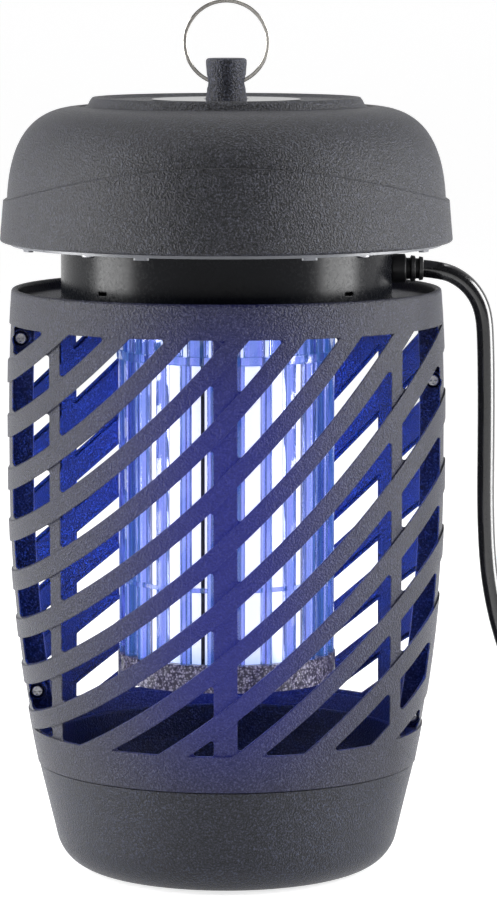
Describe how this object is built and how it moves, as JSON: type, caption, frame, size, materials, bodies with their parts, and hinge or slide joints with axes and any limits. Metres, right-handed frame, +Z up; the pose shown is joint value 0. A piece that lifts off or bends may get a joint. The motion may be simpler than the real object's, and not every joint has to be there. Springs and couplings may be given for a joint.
{
  "type": "electric bug zapper",
  "caption": "Barrel-shaped electric bug zapper: slanted slotted cage round a clear lit grid column, domed cap with hanging ring, pull-off tray and mains cord.",
  "frame": {"origin": "on the vertical axis at the level of the tray's flat bottom, which is the floor", "axes": "+Z up along the axis to the hanging ring; the front faces -Y; the cord leaves the neck towards +X"},
  "size_m": [0.2899, 0.1669, 0.3085],
  "materials": {
    "cap_plastic": "fine spark-eroded texture, semi-matt charcoal",
    "cage_plastic": "fine spark-eroded texture, semi-matt charcoal",
    "tray_plastic": "fine spark-eroded texture, semi-matt charcoal",
    "post_plastic": "fine texture, charcoal",
    "cover_plastic": "smooth satin grey",
    "neck_plastic": "polished black",
    "disc_plastic": "polished black",
    "clear_plastic": "clear polished acrylic",
    "frosted_plastic": "frosted, speckled clear plastic",
    "sleeve_plastic": "opal translucent sleeve",
    "lamp_glass": "lit ultraviolet tube",
    "lamp_white": "white moulded plastic",
    "ring_steel": "bright nickel-plated spring wire",
    "screw_steel": "zinc-plated screw",
    "rod_steel": "drawn steel rod",
    "board_resin": "green laminate with solder mask",
    "core_steel": "varnished laminations",
    "winding_copper": "enamelled copper wire",
    "capacitor_sleeve": "blue shrink sleeve",
    "diode_resin": "moulded black resin",
    "terminal_plastic": "ivory terminal block",
    "wire_black": "black insulated wire",
    "wire_red": "red insulated wire",
    "relief_rubber": "moulded soft PVC",
    "cord_pvc": "glossy black PVC cord",
    "plug_pvc": "satin black PVC moulding",
    "blade_brass": "plated brass blades"
  },
  "bodies": {
    "housing": {"cage_front": "cage_plastic", "cage_rear": "cage_plastic", "cage_screws": "screw_steel", "neck": "neck_plastic", "cap_cover": "cover_plastic", "neck_screws": "screw_steel", "cap": "cap_plastic", "cap_screws": "screw_steel", "hang_post": "post_plastic", "post_screw": "screw_steel", "top_disc": "disc_plastic", "grid_frame": "clear_plastic", "grid_crown": "clear_plastic", "grid_screws": "screw_steel", "grid_base": "frosted_plastic", "live_rods": "rod_steel", "return_rods": "rod_steel", "live_ring": "rod_steel", "return_ring": "rod_steel", "lamp_tubes": "lamp_glass", "lamp_base": "lamp_white", "lamp_socket": "lamp_white", "lamp_sleeve": "sleeve_plastic", "circuit_board": "board_resin", "board_screws": "screw_steel", "transformer_core": "core_steel", "transformer_winding": "winding_copper", "hv_capacitors": "capacitor_sleeve", "rectifier_diodes": "diode_resin", "terminal_block": "terminal_plastic", "mains_conductors": "wire_black", "live_lead": "wire_red", "return_lead": "wire_black", "strain_relief": "relief_rubber", "cord": "cord_pvc", "cord_tail": "cord_pvc", "cord_coil": "cord_pvc", "plug_body": "plug_pvc", "plug_blades": "blade_brass"},
    "tray": {"collection_tray": "tray_plastic"},
    "ring": {"hang_ring": "ring_steel"}
  },
  "joints": [
    {"name": "tray_pull", "type": "slide", "parent": "housing", "child": "tray", "axis": [0, 0, -1], "range_m": [0, 0.05]},
    {"name": "ring_swing", "type": "hinge", "parent": "housing", "child": "ring", "pos_m": [0, 0, 0.2796], "axis": [1, 0, 0], "range_deg": [-96, 96]}
  ]
}
